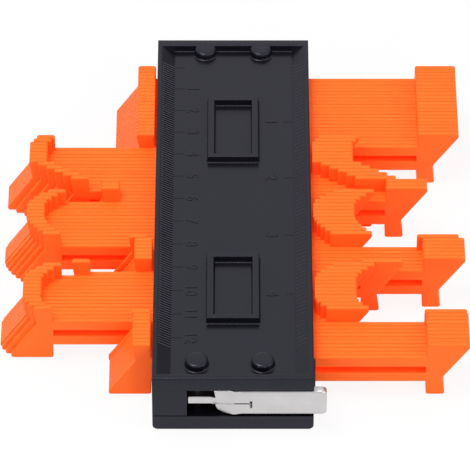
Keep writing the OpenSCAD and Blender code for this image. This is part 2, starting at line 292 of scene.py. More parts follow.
def orange_plastic():
    """Satin orange plastic: each leaf has its own slight tone, with soft flow marks.

    Light goes a little way into the plastic, red the furthest. A faint red
    emission is painted light: it makes narrow, shaded places glow red instead
    of brown.
    """
    material, tree, shader, place = new_material("leaf_plastic_with_painted_glow")
    flow = noise(tree, stretched(tree, place, FLOW_STRETCH), FLOW_WAVES, detail=3)
    along_stack = stretched(tree, place, (0, 1, 0))
    leaf_tone = noise(tree, along_stack, TONES_PER_LEAF / (LEAF_PITCH * MM), detail=0)
    tone = combined(tree, "ADD", spread(tree, flow, 0, 0.4), spread(tree, leaf_tone, 0, 0.6))
    colour = tinted(tree, tone, LEAF_DARK, LEAF_LIGHT)
    tree.links.new(colour, shader.inputs["Base Color"])
    tree.links.new(spread(tree, flow, *LEAF_ROUGH), shader.inputs["Roughness"])
    shader.inputs["Specular IOR Level"].default_value = 0.12
    shader.inputs["Subsurface Weight"].default_value = 0.15
    shader.inputs["Subsurface Radius"].default_value = (1.0, 0.14, 0.03)
    shader.inputs["Subsurface Scale"].default_value = 0.0012
    # Painted light: a red emission that makes shaded places glow red.
    shader.inputs["Emission Color"].default_value = (1.0, 0.02, 0.002, 1)
    shader.inputs["Emission Strength"].default_value = 0.25
    grain = noise(tree, place, LEAF_GRAIN_WAVES, detail=2)
    bumped(tree, shader, grain, LEAF_GRAIN_HEIGHT, strength=0.4)
    return material


leaf_plastic_with_painted_glow = orange_plastic()

# %% Steel of the lever and of the inner parts

ROLLED_STRETCH = (0.06, 1, 1)
BLOTCH_WAVES = 170
TOOTH_HEIGHT = 0.00002


def worked_steel(name, dark, light, rough, streak):
    """Steel with streaks along the rolling direction, X, and a fine tooth."""
    material, tree, shader, place = new_material(name)
    rolled = noise(tree, stretched(tree, place, ROLLED_STRETCH), streak, detail=4)
    blotch = noise(tree, place, BLOTCH_WAVES, detail=3)
    tree.links.new(tinted(tree, spread(tree, blotch, 0, 1), dark, light), shader.inputs["Base Color"])
    tree.links.new(spread(tree, rolled, *rough), shader.inputs["Roughness"])
    shader.inputs["Metallic"].default_value = 1.0
    bumped(tree, shader, rolled, TOOTH_HEIGHT, strength=0.5)
    return material


lever_steel = worked_steel("lever_steel", (0.58, 0.565, 0.57), (0.67, 0.65, 0.655), (0.26, 0.38), 1800)
# Dark steel, made darker still as painted shade, so that the pin in the lever's cavity stays as dark as
# the shade around it.
inner_steel = worked_steel("inner_steel", (0.11, 0.10, 0.09), (0.16, 0.15, 0.14), (0.34, 0.48), 2400)

# %% [markdown]
# ## The leaves
#
# A leaf is a flat moulding with a slotted strip and a slanted head at each
# end. Its outline is worked out once, as corners with a rounding each. The
# solid is then a stack of rings along Y: the first and last rings are drawn in
# a little, so that the moulding thins out towards its rim. In a stack this
# leaves a narrow groove between two leaves, too deep for the light, and makes
# the fine dark lines that a stack of leaves shows.

# %% Outline of one leaf

LEAF_THICK = 1.48
LEAF_EDGE = 0.45
LEAF_THIN = 0.1
HEAD_W = 12.3
HEAD_TIP = 1.3
NECK_W = 4.6
NECK_DROP = 3.2
FOOT_FLARE = 0.9
STRIP_HALF = 4.6
SLOT_HALF = 1.2
SLOT_MARGIN = 0.15
HEAD_ROUND = 0.7
HEAD_EDGE = 0.02
ARC_STEPS = 4

leaf_low, leaf_high = node_box(leaf_names[0])
leaf_half_l = (leaf_high[0] - leaf_low[0]) / 2
leaf_half_h = (leaf_high[2] - leaf_low[2]) / 2
head_x = leaf_half_l - HEAD_W


def rounded(corners):
    """Outline with each corner (x, z, radius) replaced by an arc of ARC_STEPS.

    The arc touches both edges at the distance radius / tan(half angle), and
    its middle lies on the bisector at radius / sin(half angle).
    """
    corners = np.asarray(corners, float)
    at, radius = corners[:, :2], corners[:, 2:]
    before, after = np.roll(at, 1, axis=0) - at, np.roll(at, -1, axis=0) - at
    before /= np.linalg.norm(before, axis=1, keepdims=True)
    after /= np.linalg.norm(after, axis=1, keepdims=True)
    half = np.arccos(np.sum(before * after, axis=1, keepdims=True)) / 2
    bisector = before + after
    bisector /= np.linalg.norm(bisector, axis=1, keepdims=True)
    middle = at + bisector * radius / np.sin(half)
    first = at + before * radius / np.tan(half) - middle
    last = at + after * radius / np.tan(half) - middle
    angle = np.arctan2(first[:, 1], first[:, 0])
    turn = np.arctan2(last[:, 1], last[:, 0]) - angle
    turn = (turn + np.pi) % (2 * np.pi) - np.pi
    steps = np.linspace(0, 1, ARC_STEPS + 1)
    angles = angle[:, None] + turn[:, None] * steps
    arc = np.stack([np.cos(angles), np.sin(angles)], axis=-1)
    return middle[:, None, :] + radius[:, :, None] * arc


def inward(outline):
    """For each point of a clockwise outline, the step that draws it in by 1.

    With edge normals n1 and n2 this mitre is (n1 + n2) / (1 + n1 . n2).
    """
    edge = np.roll(outline, -1, axis=0) - outline
    edge /= np.linalg.norm(edge, axis=1, keepdims=True)
    normal = np.column_stack([edge[:, 1], -edge[:, 0]])
    earlier = np.roll(normal, 1, axis=0)
    return (normal + earlier) / (1 + np.sum(normal * earlier, axis=1, keepdims=True))


half_leaf = np.array([
    [head_x, STRIP_HALF, HEAD_EDGE],
    [head_x, leaf_half_h, HEAD_ROUND],
    [leaf_half_l, leaf_half_h, HEAD_ROUND],
    [leaf_half_l, leaf_half_h - HEAD_TIP, HEAD_ROUND],
    [head_x + NECK_W, -NECK_DROP, HEAD_EDGE],
    [head_x + NECK_W + FOOT_FLARE, -leaf_half_h, HEAD_ROUND],
    [head_x, -leaf_half_h, HEAD_ROUND],
    [head_x, -STRIP_HALF, HEAD_EDGE],
])
NECK_CORNER = 4
turned_half = half_leaf * [-1, -1, 1]
leaf_outline = rounded(np.concatenate([half_leaf, turned_half])).reshape(-1, 2)
leaf_inward = inward(leaf_outline)
slot_outline = np.array([[1, -1], [1, 1], [-1, 1], [-1, -1]]) * [head_x - SLOT_MARGIN, SLOT_HALF]
print("leaf outline:", len(leaf_outline), "points")

# %% One leaf as rings along Y

# Each ring is a share of the elliptic edge: how deep in Y, how far drawn in.
edge_turn = np.radians([0, 45, 90])
EDGE_DEEP = 1 - np.cos(edge_turn)
EDGE_IN = 1 - np.sin(edge_turn)


def leaf_solid(shift_x, leaf_back_y):
    """Points and faces of one leaf whose back face is at leaf_back_y.

    Rings run from the back face to the front face. A flat face has the slot in
    it, so it is two polygons that meet on lines from the slot to the necks.
    """
    deep = np.concatenate([LEAF_THIN * EDGE_DEEP, LEAF_THICK - LEAF_THIN * EDGE_DEEP[::-1]])
    drawn = LEAF_EDGE * np.concatenate([EDGE_IN, EDGE_IN[::-1]])
    rings = leaf_outline + drawn[:, None, None] * leaf_inward
    n_rings, n_outer = rings.shape[:2]
    slots = np.stack([slot_outline, slot_outline])
    n_slot = len(slot_outline)

    def placed(outlines, depths):
        y = np.broadcast_to(leaf_back_y - depths[:, None], outlines.shape[:2])
        return np.stack([outlines[..., 0] + shift_x, y, outlines[..., 1] + mid_z], axis=-1).reshape(-1, 3)

    points = np.concatenate([placed(rings, deep), placed(slots, deep[[0, -1]])])
    slot_start = n_rings * n_outer
    faces = grid_faces(n_rings, n_outer, wrap=True)
    faces += [face[::-1] for face in grid_faces(2, n_slot, start=slot_start, wrap=True)]
    right = NECK_CORNER * (ARC_STEPS + 1)
    left = right + n_outer // 2
    for ring, slot, flip in ((0, 0, 1), (n_rings - 1, 1, -1)):
        outer = ring * n_outer + np.arange(n_outer)
        low_right, high_right, high_left, low_left = slot_start + slot * n_slot + np.arange(n_slot)
        upper = [*outer[left:], *outer[:right + 1], low_right, high_right, high_left]
        lower = [*outer[right:left + 1], high_left, low_left, low_right]
        faces += [upper[::flip], lower[::flip]]
    return points, [[int(i) for i in face] for face in faces]


# %% A piece for each bundle of leaves

leaves_made = 0
for name in leaf_names:
    low, high = node_box(name)
    in_bundle = int(round((high[1] - low[1]) / LEAF_PITCH))
    shift_x = (low[0] + high[0]) / 2
    points, faces = join([leaf_solid(shift_x, high[1] - k * LEAF_PITCH) for k in range(in_bundle)])
    piece = add_piece(name + "_blade", points, faces, leaf_plastic_with_painted_glow, name, "leaf", sharp_deg=50)
    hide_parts(name)
    leaves_made += in_bundle
print("leaves:", leaves_made)

# %% [markdown]
# ## The cover
#
# The cover is one moulding: a rim, a sunk ruler panel with a slope along each
# side, two raised frames and four domes. A mould leaves a soft edge at the top
# of every wall and a fillet at its foot, and those fillets draw the thin light
# lines around the frames. The upper side is a height over x and y, so it is
# worked out on a grid whose lines follow the walls: every wall, edge and
# fillet then has its own rows of points.

# %% Sections of the walls and of the slopes

PANEL_DEPTH = 2.2
SIDE_RIM = 1.3
SLOPE_W = 4.0
TOP_SOFT = 0.25
FOOT_SOFT = 0.4
WALL_DRAFT = 0.1
SUPPORT = 0.08
SLOPE_SOFT = 0.35
CURVE_POINTS = 5
panel_z = top_z - PANEL_DEPTH
slope_x = half_w - SIDE_RIM
quarter = np.linspace(0, np.pi / 2, CURVE_POINTS)

# Distance out from a wall's upper edge, and the drop of the surface there:
# a rounded edge, the wall with its draft, and a fillet at its foot.
WALL_OUT = np.concatenate([
    [-TOP_SOFT - SUPPORT], TOP_SOFT * (np.sin(quarter) - 1),
    WALL_DRAFT + FOOT_SOFT * (1 - np.cos(quarter)), [WALL_DRAFT + FOOT_SOFT + SUPPORT]])
WALL_DROP = np.concatenate([
    [0], TOP_SOFT * (1 - np.cos(quarter)),
    PANEL_DEPTH + FOOT_SOFT * (np.sin(quarter) - 1), [PANEL_DEPTH]])


def soft_corner(before, corner, after, reach):
    """A quadratic curve in place of a corner, from reach before it to reach after it."""
    before, corner, after = (np.array(point, float) for point in (before, corner, after))
    start = corner + (before - corner) * reach / np.linalg.norm(before - corner)
    end = corner + (after - corner) * reach / np.linalg.norm(after - corner)
    t = np.linspace(0, 1, CURVE_POINTS)[:, None]
    return (1 - t) ** 2 * start + 2 * t * (1 - t) * corner + t ** 2 * end


ramp_top, ramp_foot = (0, 0), (SLOPE_W, PANEL_DEPTH)
SLOPE_OUT, SLOPE_DROP = np.concatenate([
    soft_corner((-1, 0), ramp_top, ramp_foot, SLOPE_SOFT),
    soft_corner(ramp_top, ramp_foot, (SLOPE_W + 1, PANEL_DEPTH), SLOPE_SOFT)]).T

# %% Height of the cover's upper side

FRONT_RIM = 2.0
BACK_RIM = 2.9
FRAME_HALF = np.array([7.6, 13.85])
FRAME_HOLE = np.array([5.6, 12.25])
REAR_FRAME_AT = 40.7
FRONT_FRAME_AT = 39.1
EDGE_SOFT = 0.4
frame_middles = [back_y - REAR_FRAME_AT, front_y + FRONT_FRAME_AT]


def wall_drop(out):
    """Drop of a wall's section at a distance out from its upper edge."""
    return np.interp(out, WALL_OUT, WALL_DROP)


def cover_drop(x, y):
    """How far the cover's upper side lies below its highest level.

    The panel is the least of its end walls and side slopes. A frame is the
    greater of its outer and inner walls, and the surface is the least of all.
    The outer edges are rounded by r - sqrt(r^2 - over^2).
    """
    drop = np.minimum(wall_drop(y - front_y - FRONT_RIM), wall_drop(back_y - BACK_RIM - y))
    drop = np.minimum(drop, np.interp(slope_x - np.abs(x), SLOPE_OUT, SLOPE_DROP))
    for middle in frame_middles:
        far_x, far_y = np.abs(x), np.abs(y - middle)
        outside = np.maximum(far_x - FRAME_HALF[0], far_y - FRAME_HALF[1])
        inside = np.minimum(FRAME_HOLE[0] - far_x, FRAME_HOLE[1] - far_y)
        drop = np.minimum(drop, np.maximum(wall_drop(outside), wall_drop(inside)))
    over = np.maximum(np.abs(x) - half_w, np.maximum(y - back_y, front_y - y)) + EDGE_SOFT
    over = np.clip(over, 0, EDGE_SOFT)
    return np.maximum(drop, EDGE_SOFT - np.sqrt(EDGE_SOFT ** 2 - over ** 2))


# %% The cover as a closed solid

SEAM_SOFT = 0.25


def sorted_lines(*parts):
    """The grid lines of all parts in order, each once."""
    return np.unique(np.concatenate(parts).round(4))


edge_lines = EDGE_SOFT * (1 - np.sin(quarter))
half_lines = np.concatenate([
    half_w - edge_lines, slope_x - SLOPE_OUT, FRAME_HALF[0] + WALL_OUT, FRAME_HOLE[0] - WALL_OUT])
x_lines = sorted_lines(-half_lines, half_lines)
frame_lines = np.concatenate([FRAME_HALF[1] + WALL_OUT, FRAME_HOLE[1] - WALL_OUT])
y_lines = sorted_lines(
    front_y + edge_lines, back_y - edge_lines,
    front_y + FRONT_RIM + WALL_OUT, back_y - BACK_RIM - WALL_OUT,
    *[middle + side * frame_lines for middle in frame_middles for side in (-1, 1)])


def cover_solid():
    """The upper side, the outer walls down to a soft seam, and a flat underside."""
    x, y = np.meshgrid(x_lines, y_lines)
    upper = np.stack([x, y, top_z - cover_drop(x, y)], axis=-1)
    index = np.arange(x.size).reshape(x.shape)
    rim = np.concatenate([index[0, :-1], index[:-1, -1], index[-1, :0:-1], index[:0:-1, 0]])
    seam = upper.reshape(-1, 3)[rim] * [1, 1, 0] + [0, 0, cover_z + SEAM_SOFT]
    foot = seam * [1 - SEAM_SOFT / half_w, 1 - SEAM_SOFT / back_y, 0] + [0, 0, cover_z]
    points = np.concatenate([upper.reshape(-1, 3), seam, foot])
    seam_index = x.size + np.arange(len(rim))
    foot_index = seam_index + len(rim)
    walls = faces_between(np.stack([foot_index, seam_index, rim]), wrap=True)
    return points, grid_faces(*x.shape) + walls + [foot_index[::-1].tolist()]


# %% Domes over the screws and the lever's pin

DOME_R = 3.35
DOME_SOFT = 0.9
DOME_FOOT = 0.4
DOME_CROWN = 0.03
DOME_BELOW = 0.01
DOME_SUNK = 0.3
CROWN_RINGS = np.linspace(0.8, 0.1, 5)
DOME_TURNS = 64
REAR_DOME_AT = 3.85
FRONT_DOME_AT = 8.3
DOME_X = 8.5


def turned(profile, centre, steps):
    """Rings of a (radius, z) profile about an upright axis, with flat ends."""
    angle = np.linspace(0, 2 * np.pi, steps, endpoint=False)
    radius, z = profile[:, :1], profile[:, 1:]
    rings = np.stack(np.broadcast_arrays(
        centre[0] + radius * np.cos(angle), centre[1] + radius * np.sin(angle), z), axis=-1)
    first = np.arange(steps)
    last = first + (len(profile) - 1) * steps
    return rings, grid_faces(len(profile), steps, wrap=True) + [first[::-1].tolist(), last.tolist()]


def dome_profile():
    """From the sunk foot over a fillet, the wall and a rounded edge to a low crown."""
    shoulder = top_z - DOME_CROWN - DOME_BELOW
    flat = DOME_R - DOME_SOFT
    foot = np.column_stack([
        DOME_R + DOME_FOOT * (1 - np.sin(quarter)), panel_z + DOME_FOOT * (1 - np.cos(quarter))])
    edge = np.column_stack([
        flat + DOME_SOFT * np.cos(quarter), shoulder + DOME_SOFT * (np.sin(quarter) - 1)])
    radius = flat * CROWN_RINGS
    crown = np.column_stack([radius, shoulder + DOME_CROWN * (1 - (radius / flat) ** 2)])
    return np.concatenate([foot[:1] - [0, DOME_SUNK], foot, edge, crown])


domes = [turned(dome_profile(), centre, DOME_TURNS) for centre in (
    (-DOME_X, back_y - REAR_DOME_AT), (DOME_X, back_y - REAR_DOME_AT),
    (DOME_X, front_y + FRONT_DOME_AT), (pin_x, front_y + FRONT_DOME_AT))]
cover = add_piece("cover", *join([cover_solid(), *domes]), housing_plastic, "body", "housing")
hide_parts("top_cover")
print("cover grid:", len(x_lines), "by", len(y_lines))

# %% [markdown]
# ## The ruler
#
# A row of moulded ridges, a millimetre apart, crosses the left slope, and a
# finer row of sixteenths of an inch crosses the right one. Both are painted
# paler than the body as a painted highlight, and a dull dark strip of painted
# shade fills each groove between the millimetres. Low lines mark the whole
# centimetres and inches on the panel. All are small closed prisms, made in one
# go: one section is placed at arrays of start and end points.

# %% Ridges and lines

INCH = 25.4
ZERO_Y = 64.3
RIDGE_SUNK = 0.05
RULER_MM = 124
RULER_CM = 12
RULER_SIXTEENTHS = 78
RULER_INCHES = 4
CM_LINE = 3.1
INCH_LINE = 2.6
PRISM_FACES = 6

# Sections: half of the width, the height, and the crest's share of the width
MM_RIDGE = (0.14, 0.1, 0.1)
# Strips of painted shade for the grooves between the millimetre ridges
MM_GROOVE_SHADE = (0.36, 0.02, 0.95)
SIXTEENTH_RIDGE = (0.07, 0.09, 0.3)
PANEL_LINE = (0.16, 0.09, 0.7)

# Ends of ridges and of the strips of painted shade in the grooves, as shares of the slope's width from
# its upper edge
MM_RIDGE_ENDS = (0.06, 0.98)
MM_GROOVE_SHADE_ENDS = (0.2, 0.98)
SIXTEENTH_ENDS = (0.12, 0.85)


def ridges(x_ends, z_ends, y, half_width, height, crest):
    """Prisms at the places y, from the first to the second of x_ends and z_ends.

    The section is a trapezium across Y, raised along the surface's normal. Its
    crest is a share of its width: a small one makes slanted sides, which glint,
    and a large one makes steep sides, which stay dark.
    """
    run = np.array([x_ends[1] - x_ends[0], 0, z_ends[1] - z_ends[0]])
    normal = np.array([-run[2], 0, run[0]]) / np.linalg.norm(run)
    section = np.array([[1, -RIDGE_SUNK], [crest, height], [-crest, height], [-1, -RIDGE_SUNK]])
    section = section[:, :1] * [0, half_width, 0] + section[:, 1:] * normal
    ends = np.stack([np.array([x_ends[i], 0, z_ends[i]]) for i in (0, 1)])
    one = ends[:, None] + section
    points = one.reshape(1, -1, 3) + np.asarray(y, float)[:, None, None] * [0, 1, 0]
    prism = np.array(grid_faces(2, 4, wrap=True) + [[3, 2, 1, 0], [4, 5, 6, 7]])
    faces = prism + points.shape[1] * np.arange(len(points))[:, None, None]
    return points, faces.reshape(-1, 4).tolist()


def on_slope(side, shares):
    """Ends in x and z at shares of a slope's width, from left to right.

    The slope on the left has the side -1, and the one on the right has 1.
    """
    x = side * (slope_x - SLOPE_W * np.array(shares))
    z = top_z - PANEL_DEPTH * np.array(shares)
    order = np.argsort(x)
    return x[order], z[order]


panel_edge = slope_x - SLOPE_W
flat_z = (panel_z, panel_z)
centimetres = ZERO_Y - 10 * np.arange(RULER_CM + 1)
inches = ZERO_Y - INCH * np.arange(1, RULER_INCHES + 1)
millimetres = ZERO_Y - np.arange(RULER_MM + 1)
sixteenths = ZERO_Y - INCH / 16 * np.arange(RULER_SIXTEENTHS + 1)
slope_ridges = join([
    ridges(*on_slope(-1, MM_RIDGE_ENDS), millimetres, *MM_RIDGE),
    ridges(*on_slope(1, SIXTEENTH_ENDS), sixteenths, *SIXTEENTH_RIDGE),
])
# The ridges take the paler plastic as a painted highlight.
add_piece("ruler_ridges", *slope_ridges, painted_highlight_plastic, "body", "housing")
# Painted shade: dark, dull strips laid in the grooves between the millimetre ridges.
between_ridges = (millimetres[1:] + millimetres[:-1]) / 2
groove_shade_strips = ridges(*on_slope(-1, MM_GROOVE_SHADE_ENDS), between_ridges, *MM_GROOVE_SHADE)
add_piece("ruler_groove_shade", *groove_shade_strips, painted_groove_shade_plastic, "body", "housing")
marks = join([
    ridges((-panel_edge, -panel_edge + CM_LINE), flat_z, centimetres, *PANEL_LINE),
    ridges((panel_edge - INCH_LINE, panel_edge), flat_z, inches, *PANEL_LINE),
])
add_piece("ruler_marks", *marks, housing_plastic, "body", "housing")
print("ridges:", len(slope_ridges[1]) // PRISM_FACES, "lines:", len(marks[1]) // PRISM_FACES)

# %% Numbers of the ruler

NUMBER_SIZE = 5.0
NUMBER_RAISED = 0.08
NUMBER_EDGE = 0.05
CM_NUMBER_X = -12.3
INCH_NUMBER_X = 11.3


def number_solid(number, x, y):
    """A raised number with its middle at x and y, its top to +X, read towards -Y."""
    curve = bpy.data.curves.new("number", "FONT")
    curve.body = str(number)
    curve.size = NUMBER_SIZE
    curve.align_x = "CENTER"
    curve.align_y = "CENTER"
    curve.extrude = NUMBER_RAISED
    curve.bevel_depth = NUMBER_EDGE
    curve.bevel_resolution = 1
    curve.resolution_u = 4
    holder = bpy.data.objects.new("number", curve)
    mesh = holder.to_mesh()
    flat = np.empty(3 * len(mesh.vertices))
    mesh.vertices.foreach_get("co", flat)
    faces = [list(face.vertices) for face in mesh.polygons]
    holder.to_mesh_clear()
    bpy.data.objects.remove(holder)
    bpy.data.curves.remove(curve)
    across, up, raised = flat.reshape(-1, 3).T
    return np.column_stack([x + up, y - across, panel_z + raised]), faces


numbers = join(
    [number_solid(i, CM_NUMBER_X, centimetres[i]) for i in range(1, RULER_CM + 1)]
    + [number_solid(i + 1, INCH_NUMBER_X, y) for i, y in enumerate(inches)])
number_piece = add_piece("ruler_numbers", *numbers, housing_plastic, "body", "housing")
weld(number_piece)
print("number faces:", len(numbers[1]))

# %% [markdown]
# ## The lock lever
#
# The lever is stamped from one sheet of steel. Its long front is a channel with
# bent flanges. At the left end a slit frees the sheet, which runs back there to
# the narrow tongue of the cam. The sheet is a set of rings: the innermost ring
# lies along the slit, the next ones cross the face to the outline, and the last
# ones turn over the bend into the flange. A Solidify then gives it thickness.

# %% Sizes and outline of the lever's sheet

SHEET_T = 0.8
SHEET_EDGE = 0.08
FLANGE = 2.3
BEND_R = 0.7
TAB_ROUND = 1.4
SHOULDER_ROUND = np.array([4.0, 2.2])
SHOULDER_IN = 0.7
SHOULDER_AT = 4.7
SLOPE_L = 6.2
TONGUE_BACK = 1.6
TONGUE_LAP = 0.5
TONGUE_MARGIN = 0.05
CAM_BELOW = 1.7
CAM_ABOVE = 0.9
SLIT_BELOW = 0.2
SLIT_START = 2.0
SLIT_STOP = 2.5
SLIT_GAP = 0.26
RELIEF_X = np.array([4.75, 4.8, 5.45, 5.5])
RELIEF_UP = 0.8
RELIEF_DOWN = 1.4
ALONG_POINTS = 60
LEAD_POINTS = 9
TURN_POINTS = 7

sheet_low, sheet_high = node_box("lock_lever")
sheet_front, sheet_right = sheet_low[1], sheet_high[0]
low_z, high_z = sheet_low[2], sheet_high[2]
sheet_left = pin_x + SHOULDER_AT
fold_x = sheet_left + SLOPE_L
cam_low, cam_high = mid_z - CAM_BELOW, mid_z + CAM_ABOVE
slit_z = mid_z - SLIT_BELOW
slit_left, slit_right = sheet_left + SLIT_START, sheet_right - SLIT_STOP


def sheet_outline():
    """Clockwise outline in x and z seen from the front, with the direction inwards.

    It starts at the upper left corner. Corners are quarter circles.
    """
    inner_left = sheet_left + SHOULDER_IN
    shoulder = np.array([inner_left, low_z]) + SHOULDER_ROUND
    tab_x, tab_high, tab_low = sheet_right - TAB_ROUND, high_z - TAB_ROUND, low_z + TAB_ROUND
    lead = np.linspace(sheet_left, shoulder[0], LEAD_POINTS)[:-1]
    along = np.unique(np.concatenate([np.linspace(shoulder[0], tab_x, ALONG_POINTS), RELIEF_X]))
    turn = np.linspace(0, np.pi / 2, TURN_POINTS)
    sin, cos = np.sin(turn), np.cos(turn)
    wide, tall = SHOULDER_ROUND
    tongue_low, tongue_high = cam_low + TONGUE_MARGIN, cam_high - TONGUE_MARGIN
    edges = [
        # x, z and the direction inwards: top, two corners of the tab, bottom, shoulder
        (np.concatenate([lead, along]), high_z, 0, -1),
        (tab_x + TAB_ROUND * sin, tab_high + TAB_ROUND * cos, -sin, -cos),
        (tab_x + TAB_ROUND * cos, tab_low - TAB_ROUND * sin, -cos, sin),
        (along[-2:0:-1], low_z, 0, 1),
        (shoulder[0] - wide * sin, shoulder[1] - tall * cos, sin, cos),
        # the left edge upwards: to the tongue, over the tongue, and to the corner
        (inner_left, np.linspace(shoulder[1], cam_low, 4)[1:], 1, 0),
        (sheet_left - TONGUE_LAP, np.linspace(tongue_low, tongue_high, TURN_POINTS), 1, 0),
        (np.linspace(inner_left, sheet_left, 6)[:-1], np.linspace(cam_high, high_z, 6)[:-1], 1, 0)]
    x, z, in_x, in_z = np.concatenate([np.stack(np.broadcast_arrays(*edge)) for edge in edges], axis=1)
    return np.column_stack([x, z]), np.column_stack([in_x, in_z])


# %% The face of the sheet

FOLD_SOFT = 0.6
FACET_FALL = 0.45
FACET_LEAN = 0.65
POCKET_D = 0.12
POCKET_BELOW = 1.9
POCKET_SOFT = 0.3
TONGUE_PROUD = 0.05
FLANGE_REST = 0.12
FLANGE_LEAD = 1
FLANGE_RISE = 3
SLIT_FALL = 0.9
NEAR = 0.01
FACE_RINGS = 15
BEND_TURN = np.radians([30, 60, 90])[:, None, None]


def smooth_step(t):
    """0 below 0, 1 above 1, and 3 t^2 - 2 t^3 between them."""
    t = np.clip(t, 0, 1)
    return t * t * (3 - 2 * t)


def sheet_back(x, z, below_slit):
    """How far the face of the sheet lies behind its front.

    To the left of the fold it runs back to the tongue, and in the upper corner
    a steeper facet with a slanted fold line. The deeper one counts, and a fold
    is softened by (t + e)^2 / 4e where |t| < e. Below the slit the strip that
    goes on from the tongue is pressed in a little.
    """
    middle = np.minimum(TONGUE_BACK / SLOPE_L * (fold_x - x), TONGUE_BACK - TONGUE_PROUD)
    facet = FACET_FALL * (fold_x - x) - FACET_LEAN * (high_z - z)
    deepest = np.maximum(middle, facet)
    reach = FOLD_SOFT * TONGUE_BACK / SLOPE_L
    folded = (deepest + reach) ** 2 / (4 * reach)
    soft = np.where(np.abs(deepest) < reach, folded, np.maximum(deepest, 0))
    pocket_up = smooth_step((z - mid_z + POCKET_BELOW) / POCKET_SOFT)
    pocket_right = smooth_step((RELIEF_X[-1] - x) / POCKET_SOFT)
    return soft + POCKET_D * pocket_up * pocket_right * below_slit


def flange_share(x):
    """The flanges end at the fold: 1 to the right of it, falling to a small rest."""
    return np.maximum(FLANGE_REST, smooth_step((x - fold_x + FLANGE_LEAD) / FLANGE_RISE))


def sheet_rings():
    """Rings of the sheet from the slit to the end of the flanges, in x, y and z."""
    outline, inwards = sheet_outline()
    x, z = outline.T
    below = z < slit_z
    side = np.where(below, -1, 1)
    slit_x = np.clip(x, slit_left, slit_right)
    opened = slit_x < RELIEF_X[-1] - NEAR
    widened = opened & (slit_x > RELIEF_X[0] + NEAR)
    relief = np.where(widened, np.where(below, RELIEF_DOWN, RELIEF_UP), 0)
    fall = SLIT_FALL * TONGUE_BACK / SLOPE_L * np.maximum(fold_x - slit_x, 0)
    slit = np.column_stack([slit_x, slit_z - fall + side * (SLIT_GAP * opened + relief)])
    share = flange_share(x)[:, None]
    inset = outline + BEND_R * share * inwards
    steps = np.linspace(0, 1, FACE_RINGS)[:, None, None]
    face = slit + (inset - slit) * steps
    bend = outline + BEND_R * share * (1 - np.sin(BEND_TURN)) * inwards
    flat = np.concatenate([face, bend, outline[None]])
    bend_depth = (BEND_R * share * (1 - np.cos(BEND_TURN)))[..., 0]
    depth = np.concatenate([np.zeros(face.shape[:2]), bend_depth, FLANGE * share.T])
    back = sheet_back(flat[..., 0], flat[..., 1], below)
    return np.stack([flat[..., 0], sheet_front + back + depth, flat[..., 1]], axis=-1)


rings = sheet_rings()
ring_faces = grid_faces(*rings.shape[:2], wrap=True)
lever = add_piece("lever_sheet", rings, ring_faces, lever_steel, "lever", "lever", sharp_deg=40)
weld(lever)
wall = lever.modifiers.new("thickness", "SOLIDIFY")
wall.thickness = SHEET_T * MM
wall.offset = -1
soften(lever, SHEET_EDGE, angle_deg=50)
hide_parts("lock_lever")
print("lever sheet rings:", rings.shape[:2])

# %% Cam and tongue

CAM_R = 4.4525
CAM_SHIFT = 0.2475
CAM_EDGE = 0.25
PIN_HOLE = 1.55
TONGUE_LEFT = 2.5
SHEET_SEAT = 0.4
CAM_POINTS = 240
EDGE_POINTS = 40


def cam_reach(angle):
    """Distance of the cam's outline from the pin, along each angle.

    A circle about a point c is met at d . c + sqrt((d . c)^2 - c . c + r^2). The
    tongue is a polygon seen whole from the pin, met between its corners.
    """
    tongue_y = sheet_front + TONGUE_BACK - pin_y
    end_x, end_y = fold_x - pin_x, sheet_front - pin_y
    corners = np.array([
        [-TONGUE_LEFT, tongue_y],
        [SHOULDER_AT, tongue_y],
        [end_x, end_y + SHEET_SEAT],
        [end_x, end_y + FLANGE],
        [CAM_R / np.sqrt(2), CAM_R / 2],
        [-TONGUE_LEFT, CAM_R / 2],
    ])
    steps = np.linspace(0, 1, EDGE_POINTS, endpoint=False)[:, None]
    following = np.roll(corners, -1, axis=0)
    edge = (corners[:, None] + steps * (following - corners)[:, None]).reshape(-1, 2)
    edge_angle = np.arctan2(edge[:, 1], edge[:, 0])
    tongue = np.interp(angle, edge_angle, np.hypot(*edge.T), period=2 * np.pi)
    towards = CAM_SHIFT * (np.cos(angle) + np.sin(angle))
    disc = towards + np.sqrt(towards ** 2 - 2 * CAM_SHIFT ** 2 + CAM_R ** 2)
    return np.maximum(tongue, disc)


angle = np.linspace(0, 2 * np.pi, CAM_POINTS, endpoint=False)
reach = cam_reach(angle)
hole = np.full_like(reach, PIN_HOLE)
radius = np.stack([hole, reach - CAM_EDGE, reach, reach, reach - CAM_EDGE, hole])
cam_z = np.array([cam_low, cam_low, cam_low + CAM_EDGE, cam_high - CAM_EDGE, cam_high, cam_high])[:, None]
cam_points = np.stack(np.broadcast_arrays(
    pin_x + radius * np.cos(angle), pin_y + radius * np.sin(angle), cam_z), axis=-1)
cam_faces = grid_faces(*radius.shape, wrap=True, close=True)
add_piece("lever_cam", cam_points, cam_faces, lever_steel, "lever", "lever")
print("cam reaches", round(reach.min(), 2), "to", round(reach.max(), 2), "mm from the pin")

# %% [markdown]
# ## The other nodes
#
# Base, pressure plate, screws, bars and pin keep their working shapes. Their
# meshes are loose triangles, so a Weld comes before the Bevel that rounds
# their edges a little.

# %% Materials and edges of the kept nodes

for name, material, edge in (
        ("base_shell", housing_plastic, 0.18), ("pressure_plate", plate_plastic, 0.2),
        ("case_screws", inner_steel, 0.08), ("guide_bar_left", inner_steel, 0.15),
        ("guide_bar_right", inner_steel, 0.15), ("lever_pin", inner_steel, 0.1)):
    node = nodes[name]
    node.data.materials.clear()
    node.data.materials.append(material)
    weld(node)
    soften(node, edge)

# %% [markdown]
# ## Floor, light and camera
#
# The gauge is shown on white. The floor stays almost white for the camera and
# for reflections, and keeps a soft shadow. The white surroundings light the
# gauge from all sides, and a lamp overhead, to the left, shades the leaves
# along the right side of the body. Two small lamps in front draw glints on the
# domes and on the lever's facet, and one on the right draws them along the
# ruler's ridges and numbers.

# %% Floor and world

